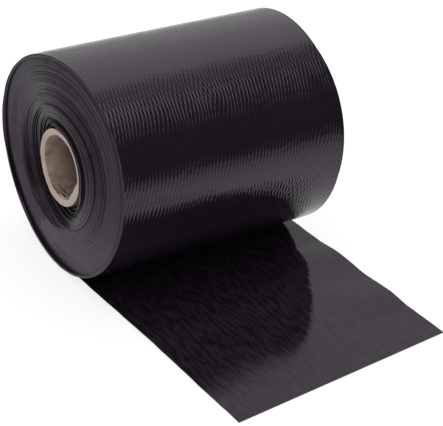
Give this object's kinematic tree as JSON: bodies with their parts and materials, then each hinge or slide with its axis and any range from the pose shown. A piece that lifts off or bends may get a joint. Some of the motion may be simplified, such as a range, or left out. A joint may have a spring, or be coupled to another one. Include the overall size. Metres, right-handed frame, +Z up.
{
  "type": "roll of damp proof course",
  "caption": "Black polyethylene damp proof course film wound on a cardboard tube, lying on its side with a short free end flat on the floor.",
  "frame": {"origin": "on the floor, straight below the middle of the roll's axis, where the free end leaves it", "axes": "+X the way the free end runs, within a few degrees, +Y along the roll's axis, +Z up"},
  "size_m": [0.2584, 0.1822, 0.144],
  "materials": {
    "film": "embossed, semi-gloss black polyethylene; matt on the wound ends",
    "cardboard": "spirally wound kraft board, cut ends bare"
  },
  "bodies": {
    "root": {"membrane": "film", "core_tube": "cardboard"}
  },
  "joints": []
}
